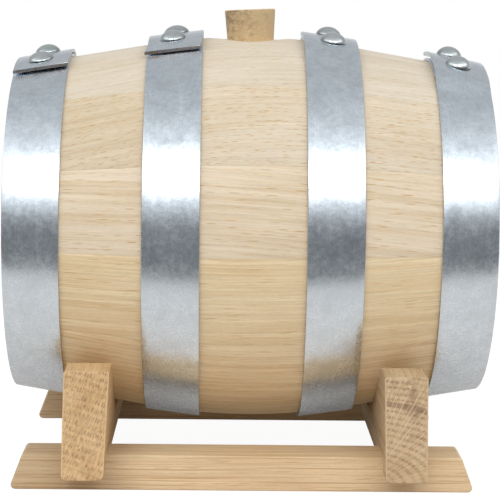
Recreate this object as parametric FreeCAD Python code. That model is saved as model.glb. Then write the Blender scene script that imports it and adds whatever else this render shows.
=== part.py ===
import FreeCAD, Part
import math
import os

from FreeCAD import Rotation, Vector

# A small oak cask with steel hoops, lying on its side in an open cradle.
# Millimetres. +Z is up, X runs along the cask, and -Y is the front.
# The origin is on the table, below the middle of the cask.

# ---- cask ----
CASK_LENGTH = 240.0
HEAD_RADIUS = 83.0           # outside of the staves at their ends
BILGE_RISE = 16.0            # how much larger the radius is at the middle
TAPER_START = 50.0           # from the middle of the cask to where the staves run straight
STAVE_THICKNESS = 14.0
# widths of the staves in degrees round the cask, from the bung stave on over the front; they
# differ a little, as split and jointed staves do, and add up to 360
STAVE_WIDTHS = (26.4, 26.5, 27.0, 26.0, 27.0, 26.5, 24.6,
                25.8, 25.2, 24.4, 25.9, 25.0, 24.3, 25.4)
CASK_CLEARANCE = 20.7        # between the bilge and the table

# ---- stave ends and heads ----
CHIME_DEPTH = 12.0           # from the stave ends to the head's outer face
CHIME_BEVEL = 6.0
HEAD_THICKNESS = 12.0
CROZE_WIDTH = 5.0            # groove that holds the head
CROZE_DEPTH = 4.0
HEAD_BEVEL_LENGTH = 4.0
HEAD_JOINT_GAP = 0.15
MIDDLE_BOARD_WIDTH = 54.0
HEAD_DOWEL_RADIUS = 3.0
HEAD_DOWEL_LENGTH = 26.0
HEAD_DOWEL_SPACING = 76.0    # between the two dowels of one joint
DOWEL_GAP = 0.05

# ---- bung and tap hole ----
BUNG_TOP_RADIUS = 13.0
BUNG_TAPER = 0.06            # change of radius per millimetre of height
BUNG_STANDS_PROUD = 14.2
BUNG_REACH_INSIDE = 8.0      # below the inside of the stave
BUNG_TOP_SLOPE = 2.8         # degrees, the top is sawn a little out of square
BUNG_EDGE = 0.8
BUNG_FIT = 0.08              # radial running clearance
TAP_HOLE_RADIUS = 8.5        # at the head's outer face
TAP_HOLE_DROP = 47.0         # below the cask's axis
TAP_PLUG_TAPER = 0.06
TAP_PLUG_PROUD = 8.0
TAP_PLUG_REACH_INSIDE = 5.0
TAP_PLUG_FIT = 0.08
TAP_PLUG_EDGE = 1.0

# ---- hoops ----
HOOP_WIDTH = 28.0
LEFT_BILGE_HOOP_MIDDLE = -38.4
RIGHT_BILGE_HOOP_MIDDLE = 40.6
HOOP_THICKNESS = 1.7
LAP_GAP = 0.7                # between the two layers of a lapped end
LAP_RISE_ANGLE = 12.0        # degrees over which the strip climbs onto itself
FREE_END_LENGTH = 10.0       # straight end of the strip beyond its last rivet
RIVET_HEAD_RADIUS = 6.7
RIVET_HEAD_HEIGHT = 4.5
RIVET_SHANK_RADIUS = 2.4
RIVET_FIT = 0.05
RIVET_EDGE_ANGLE = 6.0       # degrees of strip around a rivet's middle
# the two rivets of each hoop, free end first: degrees from the top towards the front, and
# how far each sits along X from the strip's middle
RIVET_PLACES = {
    "left_head_hoop": ((13.5, -1.1), (-0.3, 0.5)),
    "left_bilge_hoop": ((12.1, -1.6), (0.0, -0.2)),
    "right_bilge_hoop": ((0.1, 0.1), (12.9, 1.3)),
    "right_head_hoop": ((0.2, -2.2), (16.6, -0.6)),
}

# ---- cradle ----
BLOCK_SHIFT = -1.7           # midway between the blocks, from the cask's middle along X
BLOCK_SPACING = 154.0        # between the middles of the two blocks
BLOCK_THICKNESS = 20.0
LEFT_BLOCK_TOP = 61.3
RIGHT_BLOCK_TOP = 59.9
BLOCK_UNDERSIDE = 8.0
BLOCK_OVERHANG = 14.25       # in front of and behind the rails
BLOCK_BOTTOM_ROUND = 3.0
BLOCK_EDGE = 0.9
SADDLE_SLOPE = 30.0          # degrees, of the sawn flanks that carry the cask
SADDLE_FLOOR_DROP = 4.5      # flat between the flanks, below the cask
SEAT_GAP = 0.3               # between the cask and the flanks
# each rail's length, and its middle from the cask's middle, along X
FRONT_RAIL = (226.6, -2.9)
REAR_RAIL = (225.4, -5.5)
RAIL_WIDTH = 24.5
RAIL_HEIGHT = 17.4
RAIL_OUTER_SPAN = 180.0      # over the outer faces of both rails
RAIL_END_SLOPE = 20.5        # degrees from upright
RAIL_EDGE = 0.9
RAIL_CORNER_ROUND = 2.2
LAP_JOINT_GAP = 0.1

# ---- screws, up through the rails into the blocks ----
SCREW_RADIUS = 1.75
SCREW_HEAD_RADIUS = 3.5
SCREW_HEAD_HEIGHT = 2.2
SCREW_LENGTH = 30.0
SCREW_TIP_LENGTH = 5.0
SCREW_RECESS = 0.4           # head below the rail's underside
SCREW_SLOT_WIDTH = 1.0
SCREW_SLOT_DEPTH = 0.9
SCREW_GAP = 0.05

AXIS_X = Vector(1, 0, 0)
AXIS_Y = Vector(0, 1, 0)
AXIS_Z = Vector(0, 0, 1)
ORIGIN = Vector(0, 0, 0)
HALF_LENGTH = CASK_LENGTH / 2
BILGE_RADIUS = HEAD_RADIUS + BILGE_RISE
AXIS_HEIGHT = CASK_CLEARANCE + BILGE_RADIUS


# ---- shape of the cask, measured from its own axis ----

def taper_angle():
    """Angle of the straight end of a stave, in radians.

    The stave is an arc about the middle that runs on into a straight taper. The angle is
    found by halving, until arc and taper together fall from the bilge to the end radius.
    """
    low, high = 0.0, math.pi / 3
    for _ in range(60):
        angle = (low + high) / 2
        fall = TAPER_START * math.tan(angle / 2) + (HALF_LENGTH - TAPER_START) * math.tan(angle)
        if fall < BILGE_RISE:
            low = angle
        else:
            high = angle
    return low


TAPER = taper_angle()
BILGE_CURVE_RADIUS = TAPER_START / math.sin(TAPER)


def taper_radius(x, depth=0.0):
    """Radius of the stave's straight outside at x, or of the surface parallel to it at a depth."""
    return HEAD_RADIUS + (HALF_LENGTH - abs(x)) * math.tan(TAPER) - depth / math.cos(TAPER)


def stave_radius(x):
    """Radius of the outside of the staves at x, on the bilge curve or on the straight taper."""
    if abs(x) > TAPER_START:
        return taper_radius(x)
    return BILGE_RADIUS - BILGE_CURVE_RADIUS + math.sqrt(BILGE_CURVE_RADIUS ** 2 - x ** 2)


def stave_slope(x):
    """Angle of the outside of the staves at x, in radians."""
    return min(TAPER, math.asin(min(1.0, abs(x) / BILGE_CURVE_RADIUS)))


def bend_point(depth):
    """Where the straight taper meets the bilge curve, at a depth below the outside."""
    radius = BILGE_CURVE_RADIUS - depth
    middle = BILGE_RADIUS - BILGE_CURVE_RADIUS
    return Vector(radius * math.sin(TAPER), 0, middle + radius * math.cos(TAPER))


def mirrored(point):
    return Vector(-point.x, point.y, point.z)


def polyline(points):
    return [Part.LineSegment(a, b).toShape() for a, b in zip(points, points[1:])]


def revolved(edges, axis, angle=360.0, base=ORIGIN):
    """Solid of revolution of a closed outline."""
    solid = Part.Face(Part.Wire(edges)).revolve(base, axis, angle)
    return solid if solid.Volume > 0 else solid.reversed()


def sector(outline, start, angle):
    """Part of a body of revolution about X. Angles count from the top towards the front."""
    solid = revolved(outline, AXIS_X, angle)
    solid.rotate(ORIGIN, AXIS_X, start)
    return solid


def point_at(x, radius, angle):
    """Point on the cask at an angle from the top towards the front, in degrees."""
    turn = math.radians(angle)
    return Vector(x, -radius * math.sin(turn), radius * math.cos(turn))


def stave_outline():
    """Lengthwise section of a stave: bilge curve, straight tapers, chime bevels and croze grooves."""
    top = Vector(0, 0, BILGE_RADIUS)
    bottom = Vector(0, 0, BILGE_RADIUS - STAVE_THICKNESS)
    outer_bend = bend_point(0)
    inner_bend = bend_point(STAVE_THICKNESS)
    croze_middle = HALF_LENGTH - CHIME_DEPTH - HEAD_THICKNESS / 2
    croze_out = croze_middle + CROZE_WIDTH / 2
    croze_in = croze_middle - CROZE_WIDTH / 2
    bevel = HALF_LENGTH - CHIME_BEVEL

    def inside(x, deeper=0.0):
        return Vector(x, 0, taper_radius(x, STAVE_THICKNESS - deeper))

    right_end = [
        outer_bend,
        Vector(HALF_LENGTH, 0, HEAD_RADIUS),
        Vector(HALF_LENGTH, 0, taper_radius(HALF_LENGTH, STAVE_THICKNESS) + CHIME_BEVEL),
        inside(bevel),
        inside(croze_out),
        inside(croze_out, CROZE_DEPTH),
        inside(croze_in, CROZE_DEPTH),
        inside(croze_in),
        inner_bend,
    ]
    left_end = [mirrored(p) for p in reversed(right_end)]
    edges = [Part.Arc(mirrored(outer_bend), top, outer_bend).toShape()]
    edges += polyline(right_end)
    edges += [Part.Arc(inner_bend, bottom, mirrored(inner_bend)).toShape()]
    edges += polyline(left_end)
    return edges


def bung_radius(height):
    """Bung radius at a height above the outside of the stave."""
    return BUNG_TOP_RADIUS - (BUNG_STANDS_PROUD - height) * BUNG_TAPER


def cone_along(axis, base, start_radius, end_radius, length):
    return Part.makeCone(start_radius, end_radius, length, base, axis)


def bung_bore():
    """Tapered hole through the bung stave, with the running clearance."""
    low = -(STAVE_THICKNESS + BUNG_REACH_INSIDE)
    high = BUNG_STANDS_PROUD
    return cone_along(AXIS_Z, Vector(0, 0, BILGE_RADIUS + low),
                      bung_radius(low) + BUNG_FIT, bung_radius(high) + BUNG_FIT, high - low)


def make_staves():
    """All staves round the cask; the bung stave has its middle at the top."""
    staves = {}
    start = -STAVE_WIDTHS[0] / 2
    for number, width in enumerate(STAVE_WIDTHS):
        staves["stave_%02d" % number] = sector(stave_outline(), start, width)
        start += width
    staves["bung_stave"] = staves.pop("stave_00").cut(bung_bore())
    return staves


def make_bung():
    """Tapered bung, its top sawn slightly out of square and its edges broken."""
    low = -(STAVE_THICKNESS + BUNG_REACH_INSIDE)
    stock = BUNG_STANDS_PROUD + BUNG_TOP_RADIUS * math.tan(math.radians(BUNG_TOP_SLOPE))
    bung = cone_along(AXIS_Z, Vector(0, 0, BILGE_RADIUS + low),
                      bung_radius(low), bung_radius(stock), stock - low)
    waste_size = 4 * BUNG_TOP_RADIUS
    corner = Vector(-waste_size / 2, -waste_size / 2, 0)
    waste = Part.makeBox(waste_size, waste_size, waste_size, corner)
    waste.rotate(ORIGIN, AXIS_Y, -BUNG_TOP_SLOPE)
    waste.translate(Vector(0, 0, BILGE_RADIUS + BUNG_STANDS_PROUD))
    bung = bung.cut(waste)
    rims = [e for e in bung.Edges if len(e.Vertexes) == 1]
    return bung.makeChamfer(BUNG_EDGE, rims)


# ---- heads ----

def head_disc():
    """Round head with both faces bevelled down to the tongue that sits in the croze."""
    outer_face = HALF_LENGTH - CHIME_DEPTH
    inner_face = outer_face - HEAD_THICKNESS
    middle = (outer_face + inner_face) / 2
    half_tongue = CROZE_WIDTH / 2 - HEAD_JOINT_GAP
    tongue_radius = taper_radius(middle + CROZE_WIDTH / 2, STAVE_THICKNESS - CROZE_DEPTH) - HEAD_JOINT_GAP
    shoulder = taper_radius(outer_face, STAVE_THICKNESS) - HEAD_JOINT_GAP
    full = shoulder - HEAD_BEVEL_LENGTH
    outline = [
        Vector(inner_face, 0, 0),
        Vector(inner_face, 0, full),
        Vector(middle - half_tongue, 0, shoulder),
        Vector(middle - half_tongue, 0, tongue_radius),
        Vector(middle + half_tongue, 0, tongue_radius),
        Vector(middle + half_tongue, 0, shoulder),
        Vector(outer_face, 0, full),
        Vector(outer_face, 0, 0),
        Vector(inner_face, 0, 0),
    ]
    return revolved(polyline(outline), AXIS_X), middle


def head_dowel(x, y, z, gap):
    radius = HEAD_DOWEL_RADIUS + gap
    length = HEAD_DOWEL_LENGTH + 2 * gap
    return Part.makeCylinder(radius, length, Vector(x, y - length / 2, z), AXIS_Y)


def tap_plug_radius(x):
    """Tap plug radius at x; the plug is widest at its outer end."""
    outer_face = HALF_LENGTH - CHIME_DEPTH
    return TAP_HOLE_RADIUS + (x - outer_face) * TAP_PLUG_TAPER


def tap_plug_body(fit, start, end):
    base = Vector(start, 0, -TAP_HOLE_DROP)
    return cone_along(AXIS_X, base, tap_plug_radius(start) + fit, tap_plug_radius(end) + fit, end - start)


def tap_plug_ends():
    outer_face = HALF_LENGTH - CHIME_DEPTH
    return outer_face - HEAD_THICKNESS - TAP_PLUG_REACH_INSIDE, outer_face + TAP_PLUG_PROUD


def make_head(prefix, has_tap_hole):
    """Three boards edge to edge, held by dowels; the head at +X may have the tap hole."""
    disc, middle = head_disc()
    if has_tap_hole:
        disc = disc.cut(tap_plug_body(TAP_PLUG_FIT, *tap_plug_ends()))
    joints = [-MIDDLE_BOARD_WIDTH / 2, MIDDLE_BOARD_WIDTH / 2]
    heights = [-HEAD_DOWEL_SPACING / 2, HEAD_DOWEL_SPACING / 2]
    dowels = [head_dowel(middle, y, z, 0) for y in joints for z in heights]
    for hole in [head_dowel(middle, y, z, DOWEL_GAP) for y in joints for z in heights]:
        disc = disc.cut(hole)
    edge = 2 * HEAD_RADIUS
    spans = {"front": (-edge, joints[0]), "middle": (joints[0], joints[1]), "rear": (joints[1], edge)}
    nodes = {}
    for name, (start, end) in spans.items():
        slab = Part.makeBox(2 * edge, end - start, 2 * edge, Vector(-edge, start, -edge))
        nodes["%s_%s_board" % (prefix, name)] = disc.common(slab)
    nodes["%s_dowels" % prefix] = Part.makeCompound(dowels)
    return nodes


def make_tap_plug():
    start, end = tap_plug_ends()
    plug = tap_plug_body(0, start, end)
    rims = [e for e in plug.Edges if len(e.Vertexes) == 1]
    return plug.makeChamfer(TAP_PLUG_EDGE, rims)


# ---- hoops ----

def strip_point(x_middle, side, layer, angle=0.0):
    """Point on a hoop's edge. side is -1 or 1; layer is the height above the strip's inner face.

    The strip is straight across its width and tangent to the staves at its middle.
    """
    slope = stave_slope(x_middle)
    x = x_middle + side * HOOP_WIDTH / 2
    inner = stave_radius(x_middle) - (abs(x) - abs(x_middle)) * math.tan(slope)
    return point_at(x, inner + layer / math.cos(slope), angle)


def band(x_middle, low, high):
    """Section of the strip between two layers, at the top of the cask."""
    corners = [(-1, low), (1, low), (1, high), (-1, high), (-1, low)]
    return polyline([strip_point(x_middle, side, layer) for side, layer in corners])


def straight_end(x_middle, low, high, angle, turn):
    """Free end of the strip: flat beyond its last rivet, so it stands off the curve."""
    sections = []
    for side in (-1, 1):
        inner = strip_point(x_middle, side, low, angle)
        outer = strip_point(x_middle, side, high, angle)
        along = point_at(0, FREE_END_LENGTH, angle + 90 * turn)
        points = [inner, outer, outer + along, inner + along, inner]
        sections.append(Part.Wire(polyline(points)))
    return Part.makeLoft(sections, True, True)


def climb(x_middle, low, high, angle, turn):
    """The strip rising in a smooth curve from the staves onto its own start."""
    sections = []
    for side in (-1, 1):
        foot = strip_point(x_middle, side, low, angle - LAP_RISE_ANGLE * turn)
        halfway = strip_point(x_middle, side, (low + high) / 2, angle - LAP_RISE_ANGLE / 2 * turn)
        crown = strip_point(x_middle, side, high, angle)
        toe = strip_point(x_middle, side, low / 2, angle)
        edges = [Part.Arc(foot, halfway, crown).toShape()] + polyline([crown, toe, foot])
        sections.append(Part.Wire(edges))
    return Part.makeLoft(sections, True, True)


def rivet_frame(x_middle, layer, angle, shift):
    """Place and outward direction of a rivet on the strip's surface."""
    slope = stave_slope(x_middle)
    x = x_middle + shift
    fall = (abs(x) - abs(x_middle)) * math.tan(slope)
    place = point_at(x, stave_radius(x_middle) - fall + layer / math.cos(slope), angle)
    lean = math.copysign(math.degrees(slope), x_middle)
    outward = Rotation(AXIS_X, angle).multVec(Rotation(AXIS_Y, lean).multVec(AXIS_Z))
    return place, outward


def dome(place, outward):
    """Rounded rivet head on a shank that ends flush with the inside of the hoop."""
    radius = RIVET_HEAD_RADIUS
    height = RIVET_HEAD_HEIGHT
    ball = (radius ** 2 + height ** 2) / (2 * height)
    shank = 2 * HOOP_THICKNESS + LAP_GAP
    side = Vector(radius * math.sin(math.pi / 4), 0, height - ball + math.sqrt(ball ** 2 - radius ** 2 / 2))
    edges = polyline([Vector(0, 0, height), Vector(0, 0, -shank), Vector(RIVET_SHANK_RADIUS, 0, -shank),
                      Vector(RIVET_SHANK_RADIUS, 0, 0), Vector(radius, 0, 0)])
    edges.append(Part.Arc(Vector(radius, 0, 0), side, Vector(0, 0, height)).toShape())
    head = revolved(edges, AXIS_Z)
    head.Placement = FreeCAD.Placement(place, Rotation(AXIS_Z, outward))
    return head


def make_hoop(x_middle, free_rivet, inner_rivet):
    """One strip bent round the staves, lapped over its own start at the top and riveted twice.

    Each rivet is given by its angle and its shift along X, the one nearest the strip's free
    end first. The free end points to the front where that rivet is the foremost, otherwise
    to the back.
    """
    turn = math.copysign(1, free_rivet[0] - inner_rivet[0])
    start_angle = inner_rivet[0] - RIVET_EDGE_ANGLE * turn
    end_angle = free_rivet[0] + RIVET_EDGE_ANGLE / 2 * turn
    lap_inner = HOOP_THICKNESS + LAP_GAP
    lap_outer = lap_inner + HOOP_THICKNESS
    ring = revolved(band(x_middle, 0, HOOP_THICKNESS), AXIS_X)
    first = min(start_angle, end_angle)
    lap = sector(band(x_middle, lap_inner, lap_outer), first, abs(end_angle - start_angle))
    climbing = climb(x_middle, HOOP_THICKNESS, lap_outer, start_angle, turn)
    free_end = straight_end(x_middle, lap_inner, lap_outer, end_angle, turn)
    hoop = ring.fuse([climbing, lap, free_end]).removeSplitter()
    rivets = []
    for angle, shift in (free_rivet, inner_rivet):
        place, outward = rivet_frame(x_middle, lap_outer, angle, shift)
        rivets.append(dome(place, outward))
        drill_length = lap_outer + 2 * HOOP_THICKNESS
        drill_start = place - outward * (lap_outer + HOOP_THICKNESS)
        hole = Part.makeCylinder(RIVET_SHANK_RADIUS + RIVET_FIT, drill_length, drill_start, outward)
        hoop = hoop.cut(hole)
    return hoop, Part.makeCompound(rivets)


def make_hoops():
    head_hoop_middle = HALF_LENGTH - HOOP_WIDTH / 2
    middles = {
        "left_head_hoop": -head_hoop_middle,
        "left_bilge_hoop": LEFT_BILGE_HOOP_MIDDLE,
        "right_bilge_hoop": RIGHT_BILGE_HOOP_MIDDLE,
        "right_head_hoop": head_hoop_middle,
    }
    nodes = {}
    for name, x_middle in middles.items():
        hoop, rivets = make_hoop(x_middle, *RIVET_PLACES[name])
        nodes[name] = hoop
        nodes[name + "_rivets"] = rivets
    return nodes


# ---- cradle, measured from the table ----

def saddle_cutter(x_start):
    """Sawn hollow in a block's top: two flat flanks and a flat floor between them."""
    slope = math.radians(SADDLE_SLOPE)
    widest = min(abs(x_start), abs(x_start + BLOCK_THICKNESS))
    seat = stave_radius(widest) + SEAT_GAP
    floor = AXIS_HEIGHT - seat - SADDLE_FLOOR_DROP

    def flank_height(y):
        return AXIS_HEIGHT - (seat - y * math.sin(slope)) / math.cos(slope)

    floor_half = (floor - flank_height(0)) / math.tan(slope)
    top = LEFT_BLOCK_TOP + BLOCK_THICKNESS
    top_half = (top - flank_height(0)) / math.tan(slope)
    corners = [(-floor_half, floor), (floor_half, floor), (top_half, top), (-top_half, top)]
    points = [Vector(x_start, y, z) for y, z in corners]
    face = Part.Face(Part.Wire(polyline(points + points[:1])))
    return face.extrude(Vector(BLOCK_THICKNESS, 0, 0))


def screw_places():
    rail_middle = RAIL_OUTER_SPAN / 2 - RAIL_WIDTH / 2
    xs = [BLOCK_SHIFT - BLOCK_SPACING / 2, BLOCK_SHIFT + BLOCK_SPACING / 2]
    return [(x, y) for x in xs for y in (-rail_middle, rail_middle)]


def screw_body(x, y, gap):
    """Countersunk wood screw, or with a gap the hole that it is driven into."""
    base = SCREW_RECESS if gap == 0 else 0.0
    head = SCREW_HEAD_RADIUS + gap
    shank = SCREW_RADIUS + gap
    neck = SCREW_RECESS + SCREW_HEAD_HEIGHT
    end = SCREW_RECESS + SCREW_LENGTH + gap
    points = [Vector(0, 0, base), Vector(head, 0, base)]
    if gap:
        points.append(Vector(head, 0, SCREW_RECESS))
    points += [Vector(shank, 0, neck), Vector(shank, 0, end - SCREW_TIP_LENGTH), Vector(0, 0, end)]
    body = revolved(polyline(points + points[:1]), AXIS_Z)
    body.translate(Vector(x, y, 0))
    return body


def make_screws():
    screws = []
    for x, y in screw_places():
        slot_length = 2 * SCREW_HEAD_RADIUS + 1
        slot = Part.makeBox(slot_length, SCREW_SLOT_WIDTH, SCREW_SLOT_DEPTH,
                            Vector(x - slot_length / 2, y - SCREW_SLOT_WIDTH / 2, SCREW_RECESS))
        screws.append(screw_body(x, y, 0).cut(slot))
    return Part.makeCompound(screws)


def edges_along(shape, axis, chosen):
    """Straight edges parallel to an axis whose middle point passes the test."""
    found = []
    for edge in shape.Edges:
        if len(edge.Vertexes) != 2 or not isinstance(edge.Curve, Part.Line):
            continue
        direction = (edge.Vertexes[1].Point - edge.Vertexes[0].Point).normalize()
        if abs(direction.dot(axis)) > 0.999 and chosen(edge.CenterOfMass):
            found.append(edge)
    return found


def make_block(side):
    """Cradle block: a board on edge, hollowed for the cask and notched over both rails."""
    middle = BLOCK_SHIFT + side * BLOCK_SPACING / 2
    x_start = middle - BLOCK_THICKNESS / 2
    half_depth = RAIL_OUTER_SPAN / 2 + BLOCK_OVERHANG
    top = LEFT_BLOCK_TOP if side < 0 else RIGHT_BLOCK_TOP
    height = top - BLOCK_UNDERSIDE
    front_corner = Vector(x_start, -half_depth, BLOCK_UNDERSIDE)
    block = Part.makeBox(BLOCK_THICKNESS, 2 * half_depth, height, front_corner)
    bottom_edges = edges_along(block, AXIS_Y, lambda c: c.z < BLOCK_UNDERSIDE + 1)
    block = block.makeFillet(BLOCK_BOTTOM_ROUND, bottom_edges)
    block = block.cut(saddle_cutter(x_start))
    land_edges = edges_along(block, AXIS_Y, lambda c: c.z > top - 0.01)
    upright_edges = edges_along(block, AXIS_Z, lambda c: abs(c.y) > half_depth - 0.01)
    end_edges = edges_along(block, AXIS_X, lambda c: c.z > top - 0.01
                            and abs(c.y) > half_depth - 0.01)
    block = block.makeChamfer(BLOCK_EDGE, land_edges + upright_edges + end_edges)
    notch_width = RAIL_WIDTH + 2 * LAP_JOINT_GAP
    notch_height = RAIL_HEIGHT + LAP_JOINT_GAP - BLOCK_UNDERSIDE
    for y in (-RAIL_OUTER_SPAN / 2, RAIL_OUTER_SPAN / 2 - RAIL_WIDTH):
        corner = Vector(x_start - 1, y - LAP_JOINT_GAP, BLOCK_UNDERSIDE)
        block = block.cut(Part.makeBox(BLOCK_THICKNESS + 2, notch_width, notch_height, corner))
    for x, y in screw_places():
        if abs(x - middle) < 1:
            block = block.cut(screw_body(x, y, SCREW_GAP))
    return block


def make_rail(side):
    """Cradle rail: a strip with sloping ends, all its edges eased, bored for the screws."""
    length, shift = FRONT_RAIL if side < 0 else REAR_RAIL
    half_length = length / 2
    inset = RAIL_HEIGHT * math.tan(math.radians(RAIL_END_SLOPE))
    y_start = -RAIL_OUTER_SPAN / 2 if side < 0 else RAIL_OUTER_SPAN / 2 - RAIL_WIDTH
    corners = [(-half_length, 0), (half_length, 0), (half_length - inset, RAIL_HEIGHT),
               (inset - half_length, RAIL_HEIGHT)]
    points = [Vector(shift + x, y_start, z) for x, z in corners]
    rail = Part.Face(Part.Wire(polyline(points + points[:1]))).extrude(Vector(0, RAIL_WIDTH, 0))
    rail = rail.makeFillet(RAIL_CORNER_ROUND, edges_along(rail, AXIS_Y, lambda c: True))
    long_edges = edges_along(rail, AXIS_X, lambda c: c.z > RAIL_HEIGHT - 0.01)
    rail = rail.makeFillet(RAIL_EDGE, long_edges)
    for x, y in screw_places():
        if y * side > 0:
            rail = rail.cut(screw_body(x, y, SCREW_GAP))
    return rail


def make_cask():
    nodes = make_staves()
    nodes.update(make_head("tap_head", True))
    back = make_head("plain_head", False)
    for shape in back.values():
        shape.rotate(ORIGIN, AXIS_Z, 180)
    # turning the head end for end swaps its front and rear boards
    back["plain_head_front_board"], back["plain_head_rear_board"] = (
        back["plain_head_rear_board"], back["plain_head_front_board"])
    nodes.update(back)
    nodes.update(make_hoops())
    nodes["bung"] = make_bung()
    nodes["tap_hole_plug"] = make_tap_plug()
    for shape in nodes.values():
        shape.translate(Vector(0, 0, AXIS_HEIGHT))
    return nodes


def make_cradle():
    return {
        "left_cradle_block": make_block(-1),
        "right_cradle_block": make_block(1),
        "front_cradle_rail": make_rail(-1),
        "rear_cradle_rail": make_rail(1),
        "cradle_screws": make_screws(),
    }


def main():
    os.makedirs("parts", exist_ok=True)
    nodes = make_cask()
    nodes.update(make_cradle())
    for name, shape in nodes.items():
        shape.exportStep("parts/%s.step" % name)
        print(name, len(shape.Solids), "solids", round(shape.Volume, 1), "mm3", shape.isValid())


main()
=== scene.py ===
"""Looks of a small oak cask with steel hoops, lying in its cradle.

Metres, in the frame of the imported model: +Z is up, X runs along the cask, -Y is the front.
"""

import math

import bpy
import numpy as np
from mathutils import Matrix, Vector


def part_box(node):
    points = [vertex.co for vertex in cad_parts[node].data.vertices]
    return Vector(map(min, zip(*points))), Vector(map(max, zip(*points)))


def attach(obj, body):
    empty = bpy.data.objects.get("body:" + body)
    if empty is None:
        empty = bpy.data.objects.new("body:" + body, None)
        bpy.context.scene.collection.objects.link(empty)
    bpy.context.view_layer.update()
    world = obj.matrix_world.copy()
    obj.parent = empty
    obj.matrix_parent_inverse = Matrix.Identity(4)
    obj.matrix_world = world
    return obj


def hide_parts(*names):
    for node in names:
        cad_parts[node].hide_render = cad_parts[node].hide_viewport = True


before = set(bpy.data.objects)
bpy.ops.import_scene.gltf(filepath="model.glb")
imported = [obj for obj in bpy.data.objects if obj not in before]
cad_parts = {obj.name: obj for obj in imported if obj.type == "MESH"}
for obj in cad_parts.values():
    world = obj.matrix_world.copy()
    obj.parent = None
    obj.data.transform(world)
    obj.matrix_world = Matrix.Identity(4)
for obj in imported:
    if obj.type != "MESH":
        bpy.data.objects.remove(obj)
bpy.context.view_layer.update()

bl_info = {
    "name": "Oak cask",
    "version": (1, 0, 0),
    "blender": (4, 5, 0),
    "location": "3D View > Sidebar > Oak cask",
    "description": "Builds the visible pieces of a small oak cask in its cradle",
    "category": "Object",
}

# ---- the cask, measured from its own axis ----
HALF_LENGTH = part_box("stave_01")[1].x
HEAD_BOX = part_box("plain_head_middle_board")
AXIS_HEIGHT = (HEAD_BOX[0].z + HEAD_BOX[1].z) / 2
HEAD_RADIUS = 0.083
BILGE_RADIUS = 0.099
BILGE_TOP = (0, 0, AXIS_HEIGHT + BILGE_RADIUS)
TAPER_START = 0.050
STAVE_THICKNESS = 0.014
STAVE_WIDTHS = (26.4, 26.5, 27.0, 26.0, 27.0, 26.5, 24.6,
                25.8, 25.2, 24.4, 25.9, 25.0, 24.3, 25.4)      # degrees
STAVE_GAP = 2e-5                     # left free on each side of a joint
CHIME_BEVEL = 0.006
CROZE = (0.0995, 0.1045, 0.010)      # the groove's two walls, and the wood left over it
CROZE_STEP = 5e-5                    # along the cask, over which each wall rises
TAPER_ROWS, CHIME_ROW = [0.060, 0.072, 0.085], 0.108     # where a stave's rows stand
DISH_RADIUS, DISH_SLOPE = 0.0225, 0.0105      # round the bung, the second the slope's width
FIBRE_BEND = 1.11                    # fall of the fibres towards a stave's ends, per square metre
HEAD_JOINT = 0.027                   # of the head boards, from the middle
BUNG_LOW, BUNG_HIGH = -0.022, 0.0142          # ends of the bung, from BILGE_TOP
BUNG_RADIUS, BUNG_TAPER = 0.0131, 0.065       # at its top, and growth per metre
BUNG_TOP_SLOPE, BUNG_LEAN = math.tan(math.radians(2.8)), -0.03
BORE_RADIUS, BORE_TAPER = 0.01308, 0.06
PLUG_BASE = (0, 0, AXIS_HEIGHT - 0.047)
PLUG_RADIUS, PLUG_FACE, PLUG_TAPER = 0.0085, 0.108, 0.06
PLUG_EDGE = 0.001

# ---- hoops and rivets ----
HOOP_WIDTH = 0.028
HOOP_THICKNESS = 0.0017
LAP_GAP = 0.0007
LAP = 2 * HOOP_THICKNESS + LAP_GAP
LAP_RISE = 12.0                      # degrees over which the strip climbs onto itself
LAP_TOE, LAP_TAIL = 6.0, 3.0         # degrees from the climb to a rivet, and past the last one
TIP_SCALE = (0.994, 0.92, 0.92)      # of the strip's free end, which eases its sheared edge
TIP_LENGTH = 0.0002
RIVET_RADIUS, SHANK_RADIUS = 0.0067, 0.0024
DOME_TURN, DOME_SIDES = np.linspace(np.pi / 2, 0.02, 18), 64
SHANK_TOP = -0.00005                 # row of a rivet a hair below its head's rim
ROW_POINTS = 30                      # in a cross row of a strip, and those on its side edges
SIDE_EDGES = [0, 1, 2, 14, 15, 16, 17, 18, 19, 27, 28, 29]
HOOPS = {
    # middle of the strip, then each rivet's angle, shift and height, free end first, then how
    # far the free end runs past its rivet, droops at its left and right corner, veers to the
    # left, and how far the lap's left edge stands up
    "left_head_hoop": (-0.106, (13.5, -0.0011, 0.0035), (-0.3, 0.0005, 0.0044),
                       0.0085, 0.0004, 0.0, 0.0, 0.0),
    "left_bilge_hoop": (-0.0384, (12.1, -0.0016, 0.0039), (0.0, -0.0002, 0.0040),
                        0.0120, 0.0012, 0.0008, 0.0013, 0.0),
    "right_bilge_hoop": (0.0406, (0.1, 0.0001, 0.0045), (12.9, 0.0013, 0.0042),
                         0.0100, 0.0, 0.0, 0.0, 0.0),
    "right_head_hoop": (0.106, (0.2, -0.0022, 0.0050), (16.6, -0.0006, 0.0045),
                        0.0100, 0.0, 0.0, 0.0, 0.0009),
}

# ---- cradle ----
SADDLE_ANGLE = math.radians(30)
SADDLE_DROP = 0.0045                 # of the saddle's floor below the cask
SEAT_GAP, NOTCH_GAP = 0.0003, 0.0001
FOOT_ROUND, SADDLE_ROUND, NOTCH_ROUND = 0.003, 0.0003, 0.0002
LAND_EASE = 1.7                      # rounding of a block's lands, to that of its faces
RAIL_END_ANGLE = math.radians(20.5)
RAIL_CORNER_ROUND = 0.0022

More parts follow.
